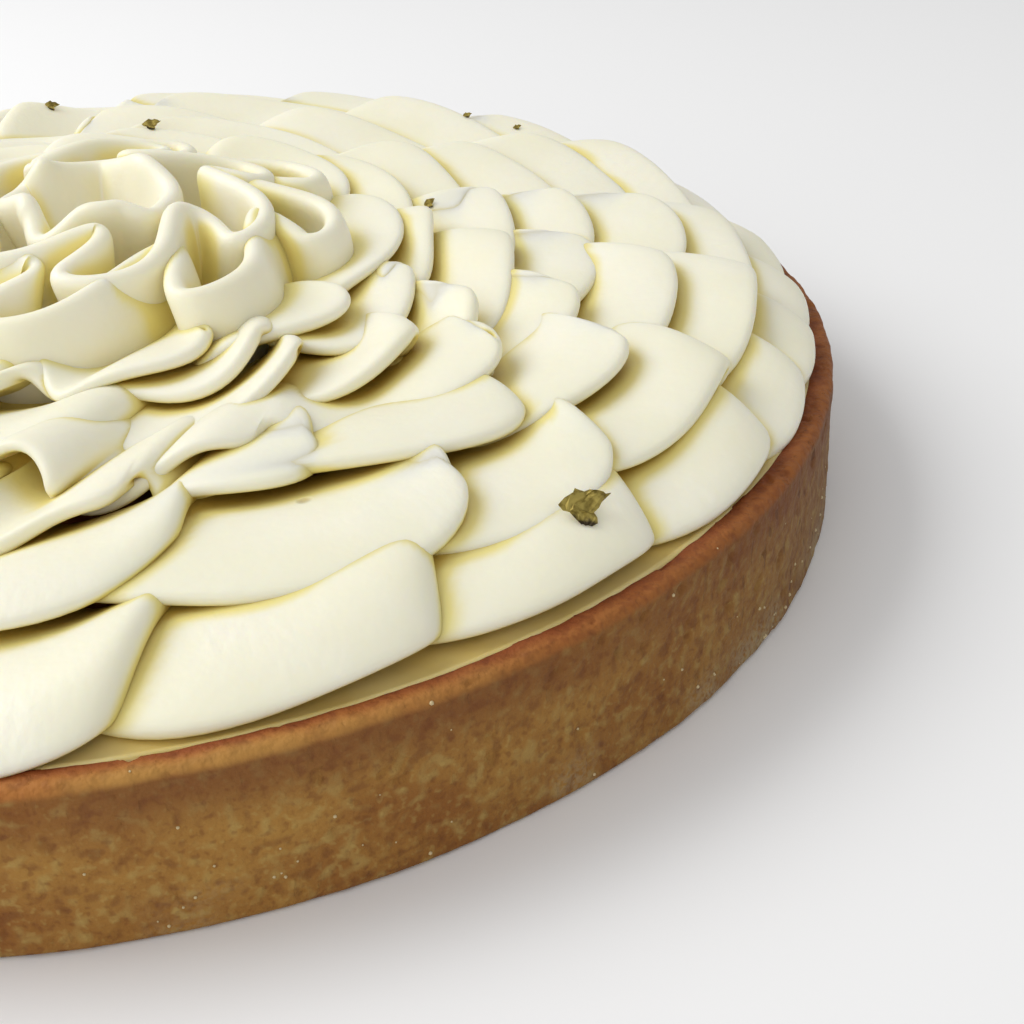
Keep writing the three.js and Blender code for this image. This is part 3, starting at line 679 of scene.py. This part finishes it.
def turn_piece(name, points, around, material, broad, crumb=0.0, quiet=0.0):
    """Turns a profile, with broad bulges and crumbs of these heights outside the quiet radius."""
    sizes = {"Around": around, "Rows": len(points), "Broad": broad, "Crumb": crumb, "Quiet radius": quiet,
             "Material": material}
    return grow(name, turned_tree, sizes, profile_mesh(name, points))

# %% [markdown]
# ## Baked pastry
# Sweet pastry is sandy. Where it touched the ring it is golden brown, with soft pale crumbs of a
# millimetre or two, darker clouds and a few small pits, painted dark as shade in the holes. The rim
# took more heat: a dark red-brown band lies under it, and its inner edge is red-brown too. Its outer
# edge carries a painted highlight, a lighter line, and the inner wall below the rim is painted
# darker, as shade beside the cream. On the right front side, away from the light, a painted shade
# darkens crust and rim, and the highlight fades there. Towards the two ends of the wall along the x
# axis the crust is greyer and has more pits, and all pits are drawn out upwards. The pattern reads
# the place on the tart, so the bands stay level all round.

# %% The wall of the crust
pastry, pastry_shader, bake = new_finish("baked_pastry")
place = bake.node("ShaderNodeTexCoord").out("Object")
spread = bake.node("ShaderNodeSeparateXYZ", None, {0: place})
radius = from_axis(spread)
height = spread.out("Z")
drawn_up = place.vectors("MULTIPLY", place, (1.0, 1.0, 0.35))
cloud = noise(place, 32.0, 3.0)
patch = noise(place, 130.0, 3.0)
crumb = noise(place, 640.0, 0.5)
grain = noise(place, 1150.0, 1.0)
sand = noise(place, 1900.0)
pit = noise(drawn_up, 880.0, 1.0)
# Greyer towards the two ends of the wall along the x axis, with more pits there.
wall_ends = (spread.out("X").maths("ABSOLUTE", spread.out("X")) / RADIUS).mask(0.45, 0.95)
# Painted shade: the right front side, away from the light, is darker.
shaded_side = ((spread.out("X") * 0.87 - spread.out("Y") * 0.5) / RADIUS).mask(0.5, 1.0)
golden = (cloud * 0.55 + patch * 0.45).mask(0.34, 0.66).mixed(tint("#875622"), tint("#a27736"))
wall = (wall_ends * 0.7).mixed(golden, tint("#7c5f40"))
wall = (crumb.mask(0.52, 0.78) * 0.5).mixed(wall, tint("#ad9454"))
wall = (grain.mask(0.56, 0.76) * 0.35).mixed(wall, tint("#b59a58"))
wall = ((1 - grain.mask(0.26, 0.46)) * 0.4).mixed(wall, tint("#693815"))
wall = ((1 - crumb.mask(0.24, 0.44)) * 0.45).mixed(wall, tint("#683917"))
# The painted shade darkens the wall on that side.
wall = (shaded_side * 0.26).mixed(wall, tint("#55290f"))
under_rim = height.mask(RIM - 9 * MM, RIM - 2 * MM) * cloud.mask(0.36, 0.6)
wall = (under_rim * 0.65).mixed(wall, tint("#6b381a"))
# The pits are painted dark, as shade in the holes; more of them towards the ends of the wall.
pits = pit.mask(0.66, 0.73) * (0.15 + 0.85 * wall_ends)
wall = (pits * 0.75).mixed(wall, tint("#4f2c17"))
floury = (1 - height.mask(0.5 * MM, 7 * MM)) * cloud.mask(0.54, 0.64) * sand.mask(0.35, 0.6)
wall = (floury * 0.55).mixed(wall, tint("#a3977c"))

# %% The rim of the crust
across_rim = (radius - INNER) / WALL
rim = (across_rim + patch * 0.7 - 0.35).mask(0.05, 0.75).mixed(tint("#88421d"), tint("#a8682f"))
rim = (grain.mask(0.46, 0.64) * 0.4).mixed(rim, tint("#7a3c18"))
rim = ((1 - crumb.mask(0.26, 0.44)) * 0.45).mixed(rim, tint("#683014"))
# A painted highlight: a lighter line along the rim's outer edge, broken up by clouds and fading on the
# shaded side.
rim_highlight = across_rim.mask(0.35, 0.9) * (cloud * 0.6 + patch * 0.4).mask(0.36, 0.62) * (1 - shaded_side * 0.8)
rim = (rim_highlight * 0.75).mixed(rim, tint("#b78a45"))
# The painted shade darkens the rim on that side too.
rim = (shaded_side * 0.5).mixed(rim, tint("#6f3415"))
colour = height.mask(RIM - 1.3 * MM, RIM - 0.4 * MM).mixed(wall, rim)
# Painted shade: the inner wall below the rim, beside the cream, is dark red-brown.
inside = 1 - radius.mask(INNER - 0.3 * MM, INNER + 0.5 * MM)
feed(bake, pastry_shader, Base_Color=inside.mixed(colour, tint("#7f3c1a")))
feed(bake, pastry_shader, Roughness=0.58 + sand * 0.25)
relief = sand * 0.4 + grain * 0.7 + crumb * 0.7 - pits * 0.9 + patch * 0.6
emboss(bake, pastry_shader, relief, 0.7, 0.5 * MM)
pastry_shader.inputs["Specular IOR Level"].default_value = 0.25
print("pastry finish has", len(pastry.node_tree.nodes), "nodes")

# %% [markdown]
# ## The shell
# The profile runs from the axis under the base out to the foot, up the straight wall, over the
# rounded rim and down inside. Points are close together where the crumb shows, and far apart on
# the base and inside, where nothing is seen.

# %% Turn the shell
FOOT_ROUND = 0.9 * MM
RIM_ROUND = 1.1 * MM
SHELL_FLOOR = 3.2 * MM
FLAT_BASE = [(RADIUS * share, 0.0) for share in (0.0, 0.5, 0.9, 0.96)]
wall_heights = np.linspace(FOOT_ROUND, RIM - RIM_ROUND, 44)[1:-1]
rim_radii = np.linspace(RADIUS - RIM_ROUND, INNER + RIM_ROUND, 6)[1:-1]
shell_profile = [
    *FLAT_BASE,
    *arc(RADIUS - FOOT_ROUND, FOOT_ROUND, FOOT_ROUND, -90, 0, 4),
    *[(RADIUS, height) for height in wall_heights],
    *arc(RADIUS - RIM_ROUND, RIM - RIM_ROUND, RIM_ROUND, 0, 90),
    *[(radius, RIM) for radius in rim_radii],
    *arc(INNER + RIM_ROUND, RIM - RIM_ROUND, RIM_ROUND, 90, 180),
    *[(INNER, height) for height in np.linspace(RIM - 2 * MM, SHELL_FLOOR, 8)],
    (INNER / 2, SHELL_FLOOR),
    (0.0, SHELL_FLOOR),
]
crust = turn_piece("crust", shell_profile, 1201, pastry, 0.9 * MM, crumb=0.4 * MM, quiet=INNER - 4 * MM)

# %% [markdown]
# ## Grains on the crust
# Sugar and flour leave a few pale grains on the crust, most of them near the foot. A tree scatters
# points over the crust, thickly where a patch lies low on the wall, and sets a small faceted grain on
# each.

# %% Scatter the grains
grains_tree, size, end = new_tree("Grains", {
    "Geometry": "Geometry", "Density": "Number", "Grain": "Number", "Seed": "Count", "Material": "Material"},
    {"Geometry": "Geometry"})
crust_faces = size["Geometry"]
spot = crust_faces.node("GeometryNodeInputPosition")
spread = spot.node("ShaderNodeSeparateXYZ", None, {0: spot})
on_wall = from_axis(spread).mask(RADIUS - 1.2 * MM, RADIUS - 0.9 * MM)
on_wall = on_wall * spread.out("Z").mask(0.5 * MM, 1 * MM)
patchy = noise(spot, 35.0).mask(0.5, 0.62)
low_down = 1 - spread.out("Z").mask(1 * MM, 11 * MM)
density = size["Density"] * on_wall * (0.08 + low_down * patchy + 0.15 * low_down)
points = spot.node("GeometryNodeDistributePointsOnFaces", {"distribute_method": "RANDOM"}, {
    "Mesh": crust_faces, "Density": density, "Seed": size["Seed"]})
one = spot.node("GeometryNodeMeshIcoSphere", None, {"Radius": size["Grain"], "Subdivisions": 1})
various = spot.node("FunctionNodeRandomValue", {"data_type": "FLOAT"}, {2: 0.4, 3: 1.3, "Seed": 5})
turned_by = spot.node("FunctionNodeRandomValue", {"data_type": "FLOAT_VECTOR"},
                      {1: (TAU, TAU, TAU), "Seed": 6})
scattered = spot.node("GeometryNodeInstanceOnPoints", None, {
    "Points": points, "Instance": one, "Rotation": turned_by, "Scale": various})
finish_tree(grains_tree, end, scattered, size["Material"])
sugar, sugar_shader, _ = new_finish("pale_grains")
sugar_shader.inputs["Base Color"].default_value = tint("#c4b085")
sugar_shader.inputs["Roughness"].default_value = 0.35
grains = grow("pale_grains", grains_tree, {
    "Density": 90000.0, "Grain": 0.2 * MM, "Seed": 3, "Material": sugar}, crust.data.copy())

# %% [markdown]
# ## Filling and lemon cream
# In the gaps between the outer folds a browned filling shows, and inside the rim a smooth band of
# pale lemon cream. Both are turned pieces with soft unevenness. They reach a hair into the crust, so
# no dark slit shows between them. The heap under the folds is browned too, and only its middle is
# covered with cream.

# %% Finishes of the filling and the lemon cream
filling_finish, filling_shader, brown = new_finish("browned_filling")
place = brown.node("ShaderNodeTexCoord").out("Object")
mottled = noise(place, 160.0, 4.0)
baked = mottled.mask(0.35, 0.65).mixed(tint("#7a4022"), tint("#9c5f33"))
bared = from_axis(brown.node("ShaderNodeSeparateXYZ", None, {0: place})).mask(38 * MM, 50 * MM)
feed(brown, filling_shader, Base_Color=bared.mixed(tint("#cdb765"), baked))
feed(brown, filling_shader, Roughness=0.55 + mottled * 0.2)
emboss(brown, filling_shader, mottled, 0.6, 0.5 * MM)

lemon_finish, lemon_shader, curd = new_finish("lemon_cream")
place = curd.node("ShaderNodeTexCoord").out("Object")
streak = noise(place, 90.0, 3.0)
feed(curd, lemon_shader, Base_Color=streak.mask(0.35, 0.65).mixed(tint("#d6bc71"), tint("#e2cb86")))
feed(curd, lemon_shader, Roughness=0.32 + streak * 0.15)
emboss(curd, lemon_shader, streak, 0.4, 0.5 * MM)
let_light_in(lemon_shader, (1.0, 0.8, 0.3))

# %% Turn the filling, the band and the heap
OVERLAP = 0.6 * MM
fill_top = filling_high[2]
fill_outer = INNER + OVERLAP / 2
fill_profile = [
    (0.0, filling_low[2]), (fill_outer, filling_low[2]), (fill_outer, band_low[2]),
    *[(radius, fill_top) for radius in np.linspace(84 * MM, 0.0, 60)],
]
filling = turn_piece("filling", fill_profile, 361, filling_finish, 0.8 * MM)
band_top = band_high[2]
band_inner = 83 * MM
band_outer = INNER + OVERLAP
band_profile = [
    (band_inner, band_low[2]), (band_outer, band_low[2]), (band_outer, band_top + 0.35 * MM),
    *[(radius, band_top) for radius in np.linspace(band_outer - 1.1 * MM, band_inner, 12)],
    (band_inner, band_low[2]),
]
band = turn_piece("lemon_ring", band_profile, 721, lemon_finish, 0.5 * MM)
HEAP = [(0, 11.5), (26, 7.5), (40, 6.5), (64, 4), (80, 1)]
heap_edge = HEAP[-1][0]
heap_radii = np.linspace(0, heap_edge, 41)
heap_heights = np.interp(heap_radii, [r for r, _ in HEAP], [h for _, h in HEAP])
heap_profile = [(0.0, fill_top), (heap_edge * MM, fill_top)]
heap_profile += [(r * MM, RIM + h * MM) for r, h in zip(heap_radii[::-1], heap_heights[::-1])]
heap = turn_piece("heap", heap_profile, 361, filling_finish, 1.2 * MM)

# %% [markdown]
# ## The camera
# The photo was taken from close by, a little from above and from the tart's left, with the camera
# turned to the right. The distance and the turns come from the ellipse of the rim and of the foot.

# %% Place the camera
DISTANCE = 241.8 * MM
ELEVATION = math.radians(26.47)
TURNED_RIGHT = math.radians(14.67)
TILTED_DOWN = math.radians(29.58)
ROLLED = math.radians(2.92)
LENS = 55.69
spot = Vector((0, -DISTANCE * math.cos(ELEVATION), DISTANCE * math.sin(ELEVATION)))
forward = Vector((math.sin(TURNED_RIGHT) * math.cos(TILTED_DOWN),
                  math.cos(TURNED_RIGHT) * math.cos(TILTED_DOWN), -math.sin(TILTED_DOWN)))
level = Vector((math.cos(TURNED_RIGHT), -math.sin(TURNED_RIGHT), 0))
below = forward.cross(level)
right = math.cos(ROLLED) * level + math.sin(ROLLED) * below
down = math.cos(ROLLED) * below - math.sin(ROLLED) * level
camera = bpy.data.objects.new("camera", bpy.data.cameras.new("camera"))
bpy.context.scene.collection.objects.link(camera)
SENSOR = 36
camera.data.sensor_width = SENSOR
camera.data.lens = LENS
camera.data.clip_start = 0.01
turned_camera = Matrix((right, -down, -forward)).transposed().to_4x4()
camera.matrix_world = Matrix.Translation(spot) @ turned_camera
bpy.context.scene.camera = camera

# %% [markdown]
# ## Gold leaf
# A flake of gold leaf lies on one of the outer folds, and a few specks sit further back. The leaf is
# a crumpled sheet: its near tip sticks to the cream and lies in its own shade, and its back part
# stands up a little and catches the light. Each is placed by where the photo shows it: a ray from
# the camera finds the fold that it lies on, so it touches the cream seen from any side.

# %% The finish of the gold
gold, gold_shader, leaf = new_finish("gold_leaf")
place = leaf.node("ShaderNodeTexCoord").out("Object")
crinkle = noise(place, 900.0, 3.0)
standing = leaf.node("ShaderNodeAttribute", {"attribute_name": "standing"}).out("Fac")
lit = crinkle.mask(0.4, 0.62).mixed(tint("#7d6c2c"), tint("#a8964c"))
raised = (standing + crinkle * 0.4 - 0.2).mask(0.2, 0.4)
feed(leaf, gold_shader, Base_Color=raised.mixed(tint("#33270f"), lit))
feed(leaf, gold_shader, Roughness=0.3 + crinkle * 0.35)
gold_shader.inputs["Metallic"].default_value = 0.6
emboss(leaf, gold_shader, crinkle, 0.6, 0.2 * MM)

# %% [markdown]
# The sheet is drawn as rows from the near tip to the back edge. Each row has a left and a right
# end, how far back it lies and how far up it stands, all in shares of the flake's width. Small random
# steps crumple it. A second layer just below gives it a thickness.

# %% Place the flakes
PHOTO_SIDE = 1024
FLAKE_PIXELS = [
    (583, 526, 5.4), (430, 208, 1.8), (50, 110, 2.4), (150, 130, 2.8), (467, 118, 1.5), (517, 130, 1.4),
]
FLAKE_ROWS = [
    (-0.04, 0.2, 0.0, 0.02), (-0.2, 0.28, 0.08, 0.1), (-0.28, 0.26, 0.17, 0.17), (-0.44, 0.2, 0.24, 0.16),
    (-0.5, 0.3, 0.33, 0.2), (-0.4, 0.36, 0.44, 0.26), (-0.26, 0.42, 0.55, 0.32), (-0.2, 0.5, 0.64, 0.37),
]
FLAKE_COLUMNS = 9
HIGHEST = FLAKE_ROWS[-1][3]
CRUMPLE = 0.025
LEAF = 0.12 * MM
draw = np.random.default_rng(7)


def tree_of(pieces):
    """One tree of all the faces of these pieces, which a ray can search quickly."""
    vertices, polygons = [], []
    for piece in pieces:
        base = len(vertices)
        vertices += [v.co.copy() for v in piece.data.vertices]
        polygons += [tuple(base + i for i in p.vertices) for p in piece.data.polygons]
    return BVHTree.FromPolygons(vertices, polygons)


def flake(at, normal, width):
    """A crumpled sheet of leaf on the cream, as vertices, faces and a share of standing."""
    ahead = normal.cross(right).normalized()
    side = ahead.cross(normal)
    top, standing = [], []
    for left, end, back, up in FLAKE_ROWS:
        for share in np.linspace(0, 1, FLAKE_COLUMNS):
            step = draw.uniform(-CRUMPLE, CRUMPLE, 3)
            across = left + (end - left) * share + step[0]
            height = max((up + 0.03 * math.sin(9 * share + 14 * back) + step[1]) * width, 2 * LEAF)
            top.append(at + (side * across + ahead * (back + step[2])) * width + normal * height)
            standing.append(up / HIGHEST)
    below = [vertex - normal * LEAF for vertex in top]
    rows, columns, count = len(FLAKE_ROWS), FLAKE_COLUMNS, len(top)
    faces = []
    for i in range(rows - 1):
        for j in range(columns - 1):
            a = i * columns + j
            faces.append((a, a + 1, a + columns + 1, a + columns))
            faces.append(tuple(count + k for k in (a + columns, a + columns + 1, a + 1, a)))
    loop = list(range(columns)) + [i * columns + columns - 1 for i in range(1, rows)]
    loop += [(rows - 1) * columns + j for j in range(columns - 2, -1, -1)]
    loop += [i * columns for i in range(rows - 2, 0, -1)]
    for a, b in zip(loop, loop[1:] + loop[:1]):
        faces.append((b, a, a + count, b + count))
    return top + below, faces, standing + standing


surface = tree_of([*cream_pieces, heap])
flake_vertices, flake_faces, flake_standing = [], [], []
for x, y, width in FLAKE_PIXELS:
    across_view = (x / PHOTO_SIDE - 0.5) * SENSOR / LENS
    down_view = (y / PHOTO_SIDE - 0.5) * SENSOR / LENS
    ray = (forward + right * across_view + down * down_view).normalized()
    at, normal, _, _ = surface.ray_cast(spot, ray)
    vertices, faces, standing = flake(at, normal, width * MM)
    flake_faces += [tuple(len(flake_vertices) + i for i in face) for face in faces]
    flake_vertices += vertices
    flake_standing += standing
flake_mesh = bpy.data.meshes.new("gold_flakes")
flake_mesh.from_pydata(flake_vertices, [], flake_faces)
flake_mesh.attributes.new("standing", "FLOAT", "POINT").data.foreach_set("value", flake_standing)
flake_mesh.materials.append(gold)
flakes = bpy.data.objects.new("gold_flakes", flake_mesh)
bpy.context.scene.collection.objects.link(flakes)
print("placed", len(FLAKE_PIXELS), "flakes")

# %% [markdown]
# ## Floor and light
# The tart stands on a plain pale floor. The photo's shades say that a large soft light stands behind
# on the left. A second, fainter one and the bright room fill the shade on the near side.

# %% Floor and lights
floor_finish, floor_shader, _ = new_finish("pale_floor")
floor_shader.inputs["Base Color"].default_value = tint("#f4f4f4")
floor_shader.inputs["Roughness"].default_value = 0.9
floor_mesh = bpy.data.meshes.new("floor")
FLOOR_SIDE = 3.0
corners = [(x * FLOOR_SIDE, y * FLOOR_SIDE, 0.0) for x, y in ((-1, -1), (1, -1), (1, 1), (-1, 1))]
floor_mesh.from_pydata(corners, [], [(0, 1, 2, 3)])
floor_mesh.materials.append(floor_finish)
floor = bpy.data.objects.new("floor", floor_mesh)
bpy.context.scene.collection.objects.link(floor)
floor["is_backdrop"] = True

world = bpy.data.worlds.new("room")
bpy.context.scene.world = world
world.use_nodes = True
world.node_tree.nodes["Background"].inputs["Color"].default_value = (1.0, 1.0, 1.0, 1.0)
world.node_tree.nodes["Background"].inputs["Strength"].default_value = 0.6


def soft_light(name, place, power, side):
    """A square light that looks at the middle of the tart's base."""
    lamp = bpy.data.lights.new(name, "AREA")
    lamp.energy = power
    lamp.size = side
    light = bpy.data.objects.new(name, lamp)
    bpy.context.scene.collection.objects.link(light)
    light.location = place
    light.rotation_mode = "QUATERNION"
    light.rotation_quaternion = Vector(place).to_track_quat("Z", "Y")


soft_light("window", (-0.45, 0.22, 0.55), power=3.4, side=0.5)
soft_light("fill", (-0.45, -0.5, 0.3), power=1.0, side=0.6)
bpy.context.scene.view_settings.view_transform = "Standard"

# %% [markdown]
# ## The body
# Every piece rides on the tart's one body. The rings, the rosette, the heap and the flakes stand for
# the one solid of cream.

# %% Hide the solids and tie the pieces to the body
for piece in [*cream_pieces, heap, flakes]:
    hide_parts("ruffled_cream")
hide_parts("pastry_shell")
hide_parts("pastry_shell")
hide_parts("baked_filling")
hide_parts("lemon_band")
FINISHES = {"whipped_cream": cream_pieces, "gold_leaf": [flakes], "pastry": [crust, grains],
            "filling": [filling, heap], "lemon_cream": [band]}
for slot, pieces in FINISHES.items():
    for piece in pieces:
        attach(piece, "root")

# %% Note the sizes and finish
made_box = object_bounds()
say_box("the visible tart reaches", made_box)
